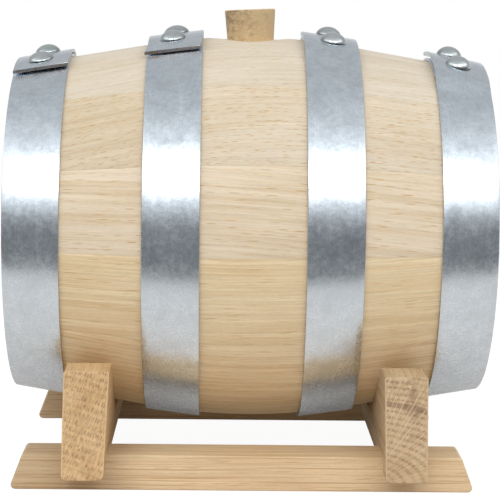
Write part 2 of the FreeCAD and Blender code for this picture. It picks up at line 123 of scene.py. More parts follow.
# ---- stage ----
LAMP_SIZE, LAMP_TARGET, LAMP_DISTANCE = (0.58, 0.34), (0, 0, 0.12), 1.4
LAMP_YAW, LAMP_PITCH = math.radians(21), math.radians(35)
CAMERA_PLACE = (-0.015046, -0.92814, AXIS_HEIGHT + 0.105667)
CAMERA_YAW, CAMERA_PITCH, CAMERA_ROLL = (math.radians(a) for a in (0.999, 7.28, 0.724))
SENSOR, FOCAL_SHARE = 36.0, 1768.102 / 500    # width of the sensor, focal length to it
FLOOR_CORNERS = ((-1.2, -0.30, 0), (1.2, -0.30, 0), (1.2, 1.2, 0), (-1.2, 1.2, 0))


def taper():
    """Angle of the straight ends of the staves: an arc to TAPER_START and a straight line
    beyond it fall together from the bilge radius to the head radius. Found by halving."""
    low, high = 0.0, 1.0
    for _ in range(60):
        angle = (low + high) / 2
        fall = TAPER_START * math.tan(angle / 2) + (HALF_LENGTH - TAPER_START) * math.tan(angle)
        low, high = (angle, high) if fall < BILGE_RADIUS - HEAD_RADIUS else (low, angle)
    return low


TAPER = taper()
BILGE_CURVE = TAPER_START / math.sin(TAPER)


# ---- sizes and colours a user may change ----

def paint(red, green, blue):
    """Linear colour of a paint-chart colour, each part from 0 to 255."""
    parts = [c / 255 for c in (red, green, blue)]
    return tuple(c / 12.92 if c <= 0.04045 else ((c + 0.055) / 1.055) ** 2.4 for c in parts)


def tint(shade, *factors):
    """A colour times one factor, or times one for each part, never past 1."""
    factors = factors * 3 if len(factors) == 1 else factors
    return tuple(min(1.0, c * f) for c, f in zip(shade, factors))


def colour(name, description, default):
    return bpy.props.FloatVectorProperty(
        name=name, description=description, default=default, subtype="COLOR", min=0, max=1)


def length(name, description, default):
    return bpy.props.FloatProperty(
        name=name, description=description, default=default, unit="LENGTH", min=0)


class CaskSizes(bpy.types.PropertyGroup):
    """Small sizes of the finish"""
    stave_edge: length("Stave edge", "Rounding of the long edges of a stave", 0.00007)
    stave_end_edge: length("Stave end edge", "Rounding of a stave's ends", 0.0006)
    bung_dish: length("Bung dish", "How far the stave sinks round the bung", 0.00095)
    hoop_edge: length("Hoop edge", "Rounding of the strip's edges", 0.00035)
    hoop_wander: length("Hoop wander", "How far a hoop's edge strays from true", 0.0002)
    bung_edge: length("Bung edge", "Rounding of the bung's rims", 0.0008)
    block_edge: length("Block edge", "Easing of the cradle blocks' edges", 0.0009)
    rail_edge: length("Rail edge", "Easing of the cradle rails' edges", 0.0009)


class CaskColours(bpy.types.PropertyGroup):
    """Colours of the finishes"""
    oak_light: colour("Oak, light", "Pale wood of the staves", paint(239, 226, 204))
    oak_dark: colour("Oak, dark", "Darker growth bands of the staves", paint(226, 207, 176))
    oak_pores: colour("Oak, pores", "Open pores of the staves", paint(206, 154, 66))
    rail_light: colour("Rail oak, light", "Pale wood of the rails", paint(232, 206, 168))
    rail_dark: colour("Rail oak, dark", "Darker lines of the rails", paint(190, 146, 98))
    left_block: colour("Left block", "Pale end grain of the left block", paint(229, 197, 152))
    right_block: colour("Right block", "Pale end grain of the right block", paint(214, 190, 155))
    block_flecks: colour("Block flecks", "Pores and flecks of the end grain", paint(146, 100, 78))
    bung_light: colour("Bung, light", "Pale patches of the bung", paint(216, 190, 148))
    bung_dark: colour("Bung, dark", "Brown patches of the bung", paint(158, 128, 98))
    steel: colour("Galvanised strip", "Zinc coat of the hoops", (0.81, 0.90, 0.985))
    zinc: colour("Rivets", "Zinc coat of the rivets", (0.75, 0.82, 0.845))
    floor: colour("Floor", "Floor that the cask stands on", (0.78, 0.74, 0.71))


class CaskLight(bpy.types.PropertyGroup):
    """Light of the stage"""
    lamp_watts: bpy.props.FloatProperty(
        name="Lamp power", description="Power of each of the two soft lamps", default=1.95,
        min=0, unit="POWER")
    room: bpy.props.FloatProperty(
        name="Room light", description="Strength of the light from all round", default=0.89,
        min=0, subtype="FACTOR")


# ---- shader maths ----

def operator(operation, swapped=False):
    """Operator of a wire that adds a Math node."""
    def act(self, other):
        return self.maths(operation, *((other, self) if swapped else (self, other)))
    return act


class Wire:
    """A socket of a material. Operators on wires and numbers add Math nodes."""
    __add__ = __radd__ = operator("ADD")
    __mul__ = __rmul__ = operator("MULTIPLY")
    __sub__, __rsub__ = operator("SUBTRACT"), operator("SUBTRACT", swapped=True)
    __truediv__, __pow__ = operator("DIVIDE"), operator("POWER")

    def __init__(self, socket):
        self.socket = socket

    def __abs__(self):
        return self.maths("ABSOLUTE", self)

    def node(self, kind, settings=(), sockets=(), out=0):
        return add_node(self.socket.id_data, kind, settings, sockets, out)

    def maths(self, operation, *values):
        return self.node("ShaderNodeMath", {"operation": operation}, dict(enumerate(values)))

    def fraction(self):
        return self.maths("FRACT", self)

    def step(self, start, end, low=0.0, high=1.0):
        """Smooth rise from low to high while the value goes from start to end."""
        return self.node("ShaderNodeMapRange", {"interpolation_type": "SMOOTHSTEP", "clamp": True},
                         {"Value": self, "From Min": start, "From Max": end,
                          "To Min": low, "To Max": high})

    def mix(self, first, second):
        """Colour between first and second by this value."""
        return self.node("ShaderNodeMix", {"data_type": "RGBA"},
                         {0: self, 6: first, 7: second}, 2)

    def times(self, base):
        """A colour, plain or a wire, times this value."""
        return self.node("ShaderNodeVectorMath", {"operation": "SCALE"}, {0: base, "Scale": self})

    def parts(self):
        return [self.node("ShaderNodeSeparateXYZ", (), {0: self}, i) for i in range(3)]

    def moved(self, turn, start):
        """These coordinates turned, then shifted to a start."""
        return self.node("ShaderNodeMapping", {"vector_type": "POINT"},
                         {0: self, "Rotation": turn, "Location": start})

    def facing(self):
        """Parts of the surface's outward direction."""
        return self.node("ShaderNodeNewGeometry", out="Normal").parts()

    def mark(self, name):
        """The mesh's attribute of that name, zero where it has none."""
        return self.node("ShaderNodeAttribute", {"attribute_name": name}, out="Fac")

    def noise(self, detail=2.0, roughness=0.5):
        return self.node("ShaderNodeTexNoise", (), {
            "Vector": self, "Scale": 1.0, "Detail": detail, "Roughness": roughness})

    def cells(self, out="Distance", randomness=1.0, flat=False):
        return self.node("ShaderNodeTexVoronoi", {"voronoi_dimensions": "2D" if flat else "3D"}, {
            "Vector": self, "Scale": 1.0, "Randomness": randomness}, out)


def add_node(tree, kind, settings=(), sockets=(), out=0):
    """New node of a kind: its settings first, then the values or links of its sockets."""
    node = tree.nodes.new(kind)
    for key, value in dict(settings).items():
        setattr(node, key, value)
    for key, value in dict(sockets).items():
        if isinstance(value, Wire):
            tree.links.new(value.socket, node.inputs[key])
        elif hasattr(value, "__len__") and len(value) == 3 and node.inputs[key].type == "RGBA":
            node.inputs[key].default_value = (*value, 1)
        else:
            node.inputs[key].default_value = value
    return Wire(node.outputs[out]) if node.outputs else None


def cleared(owner):
    """Node tree of a material or world, emptied."""
    owner.use_nodes = True
    owner.node_tree.nodes.clear()
    return owner.node_tree


def joined(x, y, z):
    """Vector of three wires or numbers."""
    wire = next(w for w in (x, y, z) if isinstance(w, Wire))
    return wire.node("ShaderNodeCombineXYZ", (), {0: x, 1: y, 2: z})


def noise(parts, scales, detail=1.0, roughness=0.5, shift=(0, 0, 0)):
    """Noise with the given number of grains per metre along each part, and a shift in grains."""
    scaled = (part * scale + start if start else part * scale
              for part, scale, start in zip(parts, scales, shift))
    return joined(*scaled).noise(detail, roughness)


def start_material(name):
    """New material and its Object coordinates."""
    material = bpy.data.materials.new(name)
    return material, add_node(cleared(material), "ShaderNodeTexCoord", out="Object")


def finish_material(material, base, roughness, height=None, relief=0.0, **fixed):
    """Ends a material in one Principled shader. fixed holds its plain numbers."""
    sockets = {"Base Color": base, "Roughness": roughness}
    sockets.update({key.replace("_", " "): value for key, value in fixed.items()})
    if height is not None:
        sockets["Normal"] = height.node(
            "ShaderNodeBump", (), {"Strength": 1.0, "Distance": relief, "Height": height})
    shader = add_node(material.node_tree, "ShaderNodeBsdfPrincipled", (), sockets)
    shader.node("ShaderNodeOutputMaterial", (), {"Surface": shader})
    return material


# ---- finishes: a factor on a coordinate is a number of grains or cells per metre ----

def oak_colour(grain, light, dark, pores, look):
    """Colour, height and pore mask of sawn oak. grain is (along the fibres, across the growth
    rings, along the rays) in metres, and wanders a little. Cells drawn out along the fibres
    make the open pores; they crowd where the growth rings start. Noise drawn out much further
    makes pale and dark lines, and two soft noises change the tone from band to band."""
    along, ring, ray = grain
    ring = ring + (noise(grain, (8, 24, 24)) - 0.5) * 0.002
    grain = along, ring, ray
    drift = noise(grain, (30, 200, 90)) * 0.9
    early = (ring * (1 / look.get("row", 0.0026)) + drift).fraction().step(0.75, 0.35)
    cells = joined(along * (1 / look["dash"]) + ring * 530, ring * 1500, ray * 1500)
    chosen = cells.cells("Color").parts()
    share = chosen[0].step(1.0 - look["pores"], 1.06 - look["pores"]) * (0.45 + chosen[1] * 0.55)
    pore = cells.cells().step(0.42, 0.20) * share * (0.12 + early * 0.88)
    bands = noise(grain, (6, 330, 60), 2.0, 0.55)
    cloud = noise(grain, (16, 45, 45), 2.0)
    fibre = noise(grain, (60, 2300, 2300), 1.0, 0.6)
    streak = noise(grain, (20, 1100, 420))
    grit = noise(grain, (420, 1700, 1700))
    fine = look.get("fine", 1.3)
    pale = noise(grain, (13, 820 * fine, 300)).step(0.58, 0.70)
    lines = noise(grain, (10, 1050 * fine, 260), shift=(3.3, 0, 0)).step(0.55, 0.68)
    base = (bands.step(0.34, 0.66) * look["contrast"]
            + (cloud.step(0.3, 0.7) - 0.5) * 0.4).mix(light, dark)
    base = (0.69 + fibre * 0.24 + streak * 0.22 + grit * 0.16).times(base)
    base = (pale * look["pale"]).mix(base, tint(light, 1.06))
    base = (lines * look["lines"]).mix(base, tint(dark, 0.88, 0.80, 0.68))
    base = (pore * look.get("strength", 0.85)).mix(base, pores)
    return base, fibre * 0.25 - pore * 0.5, pore


def stave_oak(name, angle, look):
    """Oak of one stave: the wood's frame is turned to the stave's middle and follows its bend.
    A left tone changes the left end smoothly, and the ends show darker end grain."""
    material, place = start_material(name)
    turn = math.radians(angle)
    place = place.moved((-turn, 0, 0),
                        (0, -AXIS_HEIGHT * math.sin(turn), -AXIS_HEIGHT * math.cos(turn)))
    along, back, out = place.parts()
    depth = out - BILGE_RADIUS + along * along * FIBRE_BEND
    across = back * -1 + along * look["slant"] + along * along * look["bow"]
    ring = across + depth * look["tilt"] + look["seed"] * 0.37
    ray = depth - across * look["tilt"]
    colours = bpy.context.scene.cask_colours
    light, dark = (tint(c, *look["tone"]) for c in (colours.oak_light, colours.oak_dark))
    base, height, pore = oak_colour((along, ring, ray), light, dark, colours.oak_pores, look)
    if "left_tone" in look:
        toned = base.node("ShaderNodeVectorMath", {"operation": "MULTIPLY"},
                          {0: base, 1: look["left_tone"]})
        base = (along + back * 0.6).step(-0.030, -0.055).mix(base, toned)
    end_grain = abs(place.facing()[0]).step(0.75, 0.95)
    base = (1 - end_grain * 0.22).times(base)
    return finish_material(material, base, 0.55 + pore * 0.2, height, 0.00003,
                           Specular_IOR_Level=0.3)


def board_oak(name, turn, start, light, dark, pore_colour, **look):
    """Oak of a flat board: turn brings the fibres along X, start moves the pattern. A left
    shade darkens the board smoothly towards -X, and a joint draws a fine dark line at that
    distance in front of the middle and behind it."""
    material, place = start_material(name)
    left, front = place.parts()[:2]
    base, height, pore = oak_colour(place.moved(turn, start).parts(), light, dark, pore_colour,
                                    look)
    if "left_shade" in look:
        base = left.step(-0.068, -0.046, look["left_shade"], 1.0).times(base)
    if "joint" in look:
        off = abs(abs(front) - look["joint"])
        base = off.step(0.0001, 0.0005, 0.45, 1.0).times(base)
    return finish_material(material, base, 0.58 + pore * 0.2, height, 0.00004,
                           Specular_IOR_Level=0.3)


def block_oak(name, light, flecks, look):
    """Oak of a cradle block, fibres along Y. Round a pith (x, z) run growth rings with a row of
    flecks in each, which point away from the pith. Pale rays cross the rings, and one band of
    rings and some clouds are greyer. The upright edges are lightened by a painted highlight."""
    material, place = start_material(name)
    x, along, z = parts = place.parts()
    seed = look["seed"]
    dx, dz = (x - look["pith"][0]) * look["flat"], z - look["pith"][1]
    radius = (dx * dx + dz * dz) ** 0.5
    turned = dx.maths("ARCTAN2", dx, dz) * look["reach"]
    wander = noise(parts, (60, 9, 60), 2.0, shift=(seed, 0, 0))
    radius = radius + (wander - 0.5) * look["wander"]
    phase = (radius / look["ring"]).fraction()
    row = phase.step(0.0, 0.14) * phase.step(look["row_end"] + 0.14, look["row_end"])
    slide = turned + radius * look["slide"]
    cells = joined(slide * (1 / look["fleck_gap"]), radius * (1 / look["fleck_length"]), 0.0)
    chosen = cells.cells("Color", flat=True).parts()
    share = chosen[0].step(1 - look["share"], 1.05 - look["share"]) * (0.35 + chosen[1] * 0.65)
    fleck = cells.cells(randomness=0.7, flat=True).step(0.46, 0.24) * share * (0.16 + row * 0.84)
    fine = noise((slide, radius, along), (1500, 220, 60))
    grit = noise((slide, radius, along), (2600, 1500, 90))
    rays = noise((turned, radius, along), (1 / look["ray_gap"], 22, 30), shift=(seed, 0, 0))
    tone = noise(parts, (70, 7, 70), 3.0, 0.6, (0, seed, 0))
    base = tone.step(0.25, 0.75).mix(light, tint(light, 0.86, 0.80, 0.72))
    middle, half_width, share = look["band"]
    band = (radius - middle) / half_width
    grey = (band * band).step(1.0, 0.3) * share * (0.6 + fine * 0.8)
    clouds = noise(parts, (95, 9, 60), 2.0, shift=(0, 0, seed)).step(0.55, 0.75)
    base = (grey + clouds * look["grey"]).mix(base, tint(light, 0.52, 0.46, 0.47))
    base = (row * look["rows"]).mix(base, tint(light, 0.66, 0.56, 0.50))
    base = (0.43 + fine * 0.72 + grit * 0.42).times(base)
    base = (fleck * look["strength"]).mix(base, flecks)
    base = (rays.step(0.55, 0.64) * look["rays"]).mix(base, tint(light, 1.08))
    nx, ny = place.facing()[:2]
    face = abs(ny).step(0.5, 0.8)
    long_grain, height, _ = oak_colour(
        (along, x + z * 0.35, z - x * 0.35), tint(light, 0.92), tint(light, 0.76, 0.69, 0.60),
        flecks, dict(pores=0.6, pale=0.3, lines=0.5, contrast=0.8, dash=0.006))
    base = face.mix(long_grain, base)
    # painted highlight: the rounded upright edges, between side and end faces, are made paler as
    # if catching the light
    painted_edge_highlight = (nx * nx * ny * ny * 4).step(0.1, 0.7) * 0.8
    base = painted_edge_highlight.mix(base, tint(light, 1.15))
    height = height + (fine * 0.5 + grit * 0.3 - fleck * 0.7 - height) * face
    return finish_material(material, base, 0.64 + fleck * 0.1, height, 0.00006,
                           Specular_IOR_Level=0.25)


def turned_wood(name, axis_turn, start, gather=(0.0, 0.0)):
    """Mottled turned wood, fibres along the turned Z: grey-brown patches that gather along X
    and Z, fine slanting fibres and dark specks, and painted light that makes faces pointing
    up paler."""
    colours = bpy.context.scene.cask_colours
    light, dark = colours.bung_light, colours.bung_dark
    material, place = start_material(name)
    place = place.moved(axis_turn, start)
    x, y, z = parts = place.parts()
    patches = noise(parts, (260, 260, 420), 5.0, 0.75) + x * gather[0] + z * gather[1]
    fibre = joined(x * 700 + z * 500, y * 700, z * 2400 - x * 400).noise(3.0, 0.65)
    fine = noise(parts, (2300, 2300, 2300))
    specks = joined(x * 800, y * 800, z * 1600).cells()
    specks = specks.step(0.34, 0.14) * patches.step(0.50, 0.70)
    pale = noise(parts, (130, 130, 260), 2.0, shift=(3.0, 0, 0)).step(0.56, 0.72)
    base = patches.step(0.50, 0.86).mix(light, dark)
    base = (pale * 0.45).mix(base, tint(light, 1.12))
    base = (0.57 + fibre * 0.58 + fine * 0.25).times(base)
    base = (specks * 0.6).mix(base, tint(dark, 0.5))
    # painted highlight: faces that point up are made paler, as if lit from above
    base = (place.facing()[2].step(0.6, 0.95) * 0.7).mix(base, tint(light, 1.3))
    return finish_material(material, base, 0.62, fibre * 0.6 - specks, 0.00008,
                           Specular_IOR_Level=0.3)


def galvanised(name, base_colour, rough, seed):
    """Zinc-coated strip: soft clouds, fine grain, duller flecks that catch the light, and lines
    of wear along the strip. The attribute cut_edge marks the strip's sheared end, and in part its
    two sides, which are browner and duller."""
    material, place = start_material(name)
    parts = place.parts()
    cloud = noise(parts, (110, 110, 110), 4.0, 0.62, (seed, 0, 0))
    grain = noise(parts, (1300, 1300, 1300), 2.0, 0.65, (0, 0, seed))
    patch = noise(parts, (420, 420, 420), 2.0, 0.6, (seed, 0, 0))
    wear = noise(parts, (1500, 30, 30), shift=(seed, 0, 0))
    value = 0.95 + (cloud - 0.5) * 0.34 + (grain - 0.5) * 0.24 + (patch - 0.5) * 0.26
    cut = value.mark("cut_edge")
    rust = noise(parts, (260, 260, 260), 2.0).step(0.5, 0.62)
    edge = rust.mix(paint(166, 160, 158), paint(150, 134, 122))
    roughness = (rough + (cloud - 0.5) * 0.14 + (patch - 0.5) * 0.16 + (wear - 0.5) * 0.06
                 + cut * 0.2)
    return finish_material(material, cut.mix(value.times(base_colour), edge), roughness,
                           patch * 0.4 + cloud * 1.5, 0.000025, Metallic=1.0)


def plated(name, base_colour, rough):
    """Bright zinc plate with faint clouds and a fine grain. The attribute rim marks the rims of
    the rivet heads, darkened there by a painted shade."""
    material, place = start_material(name)
    parts = place.parts()
    cloud = noise(parts, (260, 260, 260), 3.0, 0.6)
    pits = noise(parts, (1500, 1500, 1500), 2.0, 0.6)
    value = 0.92 + (cloud - 0.5) * 0.24 + (pits - 0.5) * 0.10
    # painted shade: the colour is darkened by up to 45 per cent towards the rivet heads' rims
    value = value * (value.mark("rim") * -0.45 + 1.0)
    return finish_material(material, value.times(base_colour), rough + (cloud - 0.5) * 0.12,
                           pits * 0.2 + cloud, 0.00002, Metallic=1.0)


# ---- meshes from arrays ----

def skin(rows):
    """Points and faces of a closed skin over a grid of points, row after row: quads between
    neighbours, each row closed on itself, and one flat face on the first and the last row."""
    n, m = rows.shape[:2]
    i = np.arange(n - 1)[:, None] * m
    j = np.arange(m)[None, :]
    k = (j + 1) % m
    quads = np.stack([i + j, i + k, i + m + k, i + m + j], -1).reshape(-1, 4).tolist()
    return rows.reshape(-1, 3), quads + [list(range(m))[::-1], [(n - 1) * m + v for v in range(m)]]


def volume(points, faces):
    """Six times the volume of a closed skin, below zero if its faces point inwards: each face
    is cut into a fan of triangles, and each adds the triple product of its corners."""
    total = 0.0
    for size in {len(f) for f in faces}:
        p = points[np.array([f for f in faces if len(f) == size])]
        for k in range(1, size - 1):
            total += (p[:, 0] * np.cross(p[:, k], p[:, k + 1])).sum()
    return total


def add_object(name, data):
    """New object in the scene, at the origin."""
    thing = bpy.data.objects.new(name, data)
    bpy.context.scene.collection.objects.link(thing)
    return thing


def make_mesh(name, skins):
    """Mesh object of one or more closed skins, faces outwards."""
    points, faces = [], []
    for skin_points, skin_faces in skins:
        if volume(skin_points, skin_faces) < 0:
            skin_faces = [f[::-1] for f in skin_faces]
        start = sum(len(p) for p in points)
        points.append(skin_points)
        faces += [[v + start for v in f] for f in skin_faces]
    mesh = bpy.data.meshes.new(name)
    mesh.from_pydata(np.concatenate(points).tolist(), [], faces)
    return add_object(name, mesh)


def make_piece(name, skins, body, material, nodes, sharp=38.0):
    """Piece of one or more closed skins that stands for CAD nodes, smooth but for edges whose
    angle in degrees is over sharp."""
    piece = make_mesh(name, skins)
    mesh = piece.data
    mesh.polygons.foreach_set("use_smooth", np.ones(len(mesh.polygons), bool))
    mesh.set_sharp_from_angle(angle=math.radians(sharp))
    mesh.materials.append(material)
    mesh.update()
    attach(piece, body)
    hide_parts(*nodes)
    return piece


def mark_points(piece, name, values):
    """Attribute of a piece with one value for each of its points."""
    marks = piece.data.attributes.new(name, "FLOAT", "POINT")
    marks.data.foreach_set("value", values)


def finish_node(name, material):
    """Gives a CAD node that is shown as it is one material."""
    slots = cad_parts[name].data.materials
    slots.clear()
    slots.append(material)


def surface(x, depth=0.0):
    """Radius of the staves' outside, or of the surface parallel to it at a depth: an arc about
    the middle, then a straight taper."""
    curve = BILGE_CURVE - depth
    reach = curve * math.sin(TAPER)
    arc = BILGE_RADIUS - BILGE_CURVE + np.sqrt(curve ** 2 - np.minimum(np.abs(x), reach) ** 2)
    straight = HEAD_RADIUS + (HALF_LENGTH - np.abs(x)) * math.tan(TAPER) - depth / math.cos(TAPER)
    return np.where(np.abs(x) < reach, arc, straight)


def rounding(edge, count=5):
    """Insets of a rounded edge in steps over a quarter circle: from its start and its end."""
    turn = np.linspace(0, np.pi / 2, count)
    return edge * (1 - np.cos(turn)), edge * (1 - np.sin(turn))


def round_cask(x, radius, angle):
    """Points at x, a radius and an angle in radians from the top towards the front."""
    x, radius, angle = np.broadcast_arrays(x, radius, angle)
    return np.stack([x, -radius * np.sin(angle), AXIS_HEIGHT + radius * np.cos(angle)], -1)


def stave_skin(start, width, edge, end_edge, dish=0.0):
    """Closed skin of a stave. Rows run along the cask; each row is a ring sector between the
    outside and the inside radius at that x, its two outer corners rounded. At the ends the
    rows shrink by a quarter circle, and inside they follow the groove and the chime bevel.
    With a dish the outside sinks smoothly by that much round the middle, where the bung is."""
    fine = 3 if dish else 1
    ease, pull = rounding(end_edge)
    groove_start, groove_end = CROZE[0] + CROZE_STEP, CROZE[1] - CROZE_STEP
    bevel_start = HALF_LENGTH - CHIME_BEVEL
    half = np.concatenate([
        np.linspace(0, TAPER_START, 12 * fine + 1), TAPER_ROWS, [CROZE[0], groove_start],
        [groove_end, CROZE[1], CHIME_ROW, bevel_start], HALF_LENGTH - pull])
    drop = np.concatenate([np.zeros(len(half) - len(ease)), ease])
    in_groove = (half > CROZE[0] + CROZE_STEP / 2) & (half < CROZE[1] - CROZE_STEP / 2)
    low = surface(half, np.where(in_groove, CROZE[2], STAVE_THICKNESS))
    bevel = np.clip((half - bevel_start) / CHIME_BEVEL, 0, 1)
    foot = surface(bevel_start, STAVE_THICKNESS)
    mouth = surface(HALF_LENGTH, STAVE_THICKNESS) + CHIME_BEVEL
    low = np.where(half > bevel_start, foot + (mouth - foot) * bevel, low) + drop * 0.5
    high = surface(half) - drop
    x = np.concatenate([-half[:0:-1], half])
    low, high = (np.concatenate([r[:0:-1], r]) for r in (low, high))
    flat, back = 12 * fine - 1, 7
    share = np.concatenate([-np.ones(4), np.linspace(-1, 1, flat + 2)[1:-1], np.ones(4),
                            np.linspace(1, -1, back)])
    side, fall = (np.concatenate([b, np.zeros(flat), b[::-1], np.zeros(back)])
                  for b in rounding(1, 4))
    inner = np.arange(len(share)) >= flat + 8
    middle, reach = math.radians(start + width / 2), math.radians(width / 2)
    spread = share * (reach - (edge * side + STAVE_GAP) / high[:, None])
    across = high[:, None] * spread
    near = np.clip((DISH_RADIUS - np.hypot(x[:, None], across)) / DISH_SLOPE, 0, 1)
    in_front = across ** 2 / (x[:, None] ** 2 + across ** 2 + 1e-9)
    sunk = dish * near * near * (3 - 2 * near) * (1 + 0.7 * in_front)
    radius = np.where(inner, low[:, None], high[:, None] - edge * fall - sunk)
    return skin(round_cask(x[:, None], radius, middle + spread))


def strip_slope(x_middle):
    """Slope of the staves at the middle of a hoop."""
    return math.asin(min(math.sin(TAPER), abs(x_middle) / BILGE_CURVE))


def strip_radius(x_middle, x, height):
    """Radius at x and a height on a strip that lies straight across its width and touches the
    staves at its middle."""
    slope = strip_slope(x_middle)
    return (surface(x_middle) - (np.abs(x) - abs(x_middle)) * math.tan(slope)
            + height / math.cos(slope))


def strip_rows(x_middle, edge, angle, layer, run_out, wander):
    """Cross rows of a steel strip: a flat bar with rounded edges, straight across its width, at
    an angle, a height above the staves, and a straight run past that angle. Its sides stray
    inwards by a wander."""
    flat = HOOP_WIDTH / 2 - edge
    turn = np.linspace(0, np.pi / 2, 5)
    level, upright = edge * np.cos(turn), edge * np.sin(turn)
    right = np.stack([flat + level, HOOP_THICKNESS - edge + upright], -1)
    under = np.stack([flat + upright, edge - level], -1)
    top = [(w, HOOP_THICKNESS) for w in np.linspace(flat, -flat, 9)[1:-1]]
    base = [(w, 0.0) for w in np.linspace(-flat, flat, 5)[1:-1]]
    loop = np.concatenate([right, top, right[::-1] * (-1, 1), under[::-1] * (-1, 1), base, under])
    across, height = loop.T
    stray = wander[:, None] * (np.abs(across) * 2 / HOOP_WIDTH) ** 6
    x = x_middle + across - np.sign(across) * stray
    radius = strip_radius(x_middle, x, layer[:, None] + height)
    tangent = np.stack([0 * angle, -np.cos(angle), -np.sin(angle)], -1)
    return round_cask(x, radius, angle[:, None]) + (tangent * run_out[:, None])[:, None]


def strip_skin(x_middle, free_angle, inner_angle, free_end, edge, wander_size, seed):
    """Closed skin of one hoop: the strip starts under the lap, goes once round, climbs onto
    itself in a smooth S and ends straight past its last rivet. free_end holds how far it runs
    straight, how far its left and right corners droop, how far it veers to the left, and how
    far the lap's left edge stands up."""
    run_length, left_droop, right_droop, veer, lift = free_end
    turn = math.copysign(1, free_angle - inner_angle)
    start = inner_angle - LAP_TOE * turn
    swept = abs(free_angle + LAP_TAIL * turn - start)
    around, climb, lap, straight = 190, 18, 15, 7      # rows of each stretch
    step = np.concatenate([np.linspace(-LAP_TAIL, 360 - LAP_RISE, around),
                           np.linspace(360 - LAP_RISE, 360, climb + 1)[1:],
                           np.linspace(360, 360 + swept, lap + 1)[1:],
                           np.full(straight, 360 + swept)])
    run = np.concatenate([np.zeros(around + climb + lap),
                          np.linspace(0, run_length, straight)[1:], [run_length + TIP_LENGTH]])
    rise = np.clip((step - 360 + LAP_RISE) / LAP_RISE, 0, 1)
    rise = rise * rise * (3 - 2 * rise)
    angle = np.radians(start + turn * step)
    waves = sum(np.sin(step * math.radians(k) + seed * k) / k for k in (3, 5, 8, 13))
    wander = wander_size * (0.4 + 0.5 * waves)
    rows = strip_rows(x_middle, edge, angle, (HOOP_THICKNESS + LAP_GAP) * rise, run * turn, wander)
    left = np.clip((x_middle + HOOP_WIDTH / 2 - rows[..., 0]) / HOOP_WIDTH, 0, 1)
    share = (run[:, None] / run_length) ** 2
    inward = np.stack([0 * angle, np.sin(angle), -np.cos(angle)], -1)
    sunk = (left_droop * left + right_droop * (1 - left)) * share - lift * rise[:, None] * left
    rows = rows + inward[:, None, :] * sunk[..., None]
    rows[..., 0] -= veer * share
    middle = rows[-1].mean(0)
    rows[-1] = middle + (rows[-1] - middle) * TIP_SCALE
    return skin(rows)


def turned_skin(base, axis, radii, heights, tip_slope=0.0, sides=96, lean=0.0):
    """Closed skin of a turned piece: circles of the given radii at heights along an axis. With
    a tip slope the top circles tilt, so the top is out of square. Lean moves the circles
    sideways in proportion to their height."""
    axis = np.array(axis, float)
    side = np.array([0, 0, 1.0]) if abs(axis[0]) > 0.5 else np.array([1.0, 0, 0])
    side = side - axis * (axis @ side)
    side /= np.linalg.norm(side)
    around = np.linspace(0, 2 * np.pi, sides, endpoint=False)
    radii, heights = np.array(radii)[:, None], np.array(heights)[:, None]
    share = (heights - heights.min()) / (heights.max() - heights.min())
    tilt = share ** 8 * tip_slope * radii * np.cos(around)
    return skin(np.array(base)
                + (radii * np.cos(around) + heights * lean)[..., None] * side
                + (radii * np.sin(around))[..., None] * np.cross(axis, side)
                + (heights + tilt)[..., None] * axis)


def peg_skin(base, axis, low, high, radius, at, taper, edge, side_rows, **shape):
    """Closed skin of a tapered peg from a low to a high end, both rims rounded by a quarter
    circle. It has the given radius at one height and grows by the taper along the axis."""
    ease, drop = rounding(edge)
    rows = np.linspace(low + edge, high - edge, side_rows + 2)[1:-1]
    ends = np.concatenate([low + 0 * ease, rows, high + 0 * drop])
    heights = ends + np.concatenate([ease, 0 * rows, -drop])
    radii = radius + (ends - at) * taper - np.concatenate([drop, 0 * rows, ease])
    return turned_skin(base, axis, radii, heights, **shape)


def dome_skin(place, outward, height):
    """Closed skin of a rivet: a shank through the lap, and a head halfway between a cap of a
    ball and a flattened ball, so it is steeper at its rim."""
    ball = (RIVET_RADIUS ** 2 + height ** 2) / (2 * height)
    reach = RIVET_RADIUS * np.sin(DOME_TURN)
    cap = height - ball + np.sqrt(ball ** 2 - reach ** 2)
    radii = np.concatenate([[SHANK_RADIUS, SHANK_RADIUS], reach])
    heights = np.concatenate([[-LAP, SHANK_TOP], (cap + height * np.cos(DOME_TURN)) / 2])
    return turned_skin(place, outward, radii, heights, sides=DOME_SIDES)


def rivet_place(x_middle, angle, shift, lift):
    """Middle and outward direction of a rivet on the lap of a hoop, whose left edge stands up
    by lift."""
    x = x_middle + shift
    radius = strip_radius(x_middle, x, LAP) + lift * (0.5 - shift / HOOP_WIDTH)
    turn = math.radians(angle)
    lean = math.copysign(strip_slope(x_middle), x_middle)
    outward = (math.sin(lean), -math.cos(lean) * math.sin(turn), math.cos(lean) * math.cos(turn))
    return round_cask(x, radius, turn), outward


def corner(x, z, radius, quarter):
    """For each row a quarter circle that rounds the corner (x, z) of a rectangle: upper right,
    upper left, lower left or lower right."""
    a = (quarter + np.linspace(0, 1, 6)) * np.pi / 2
    x = x + radius * (1 if quarter in (1, 2) else -1)
    z = z + radius * (1 if quarter in (2, 3) else -1)
    return np.stack([x[:, None] + radius[:, None] * np.cos(a),
                     z[:, None] + radius[:, None] * np.sin(a)], -1)


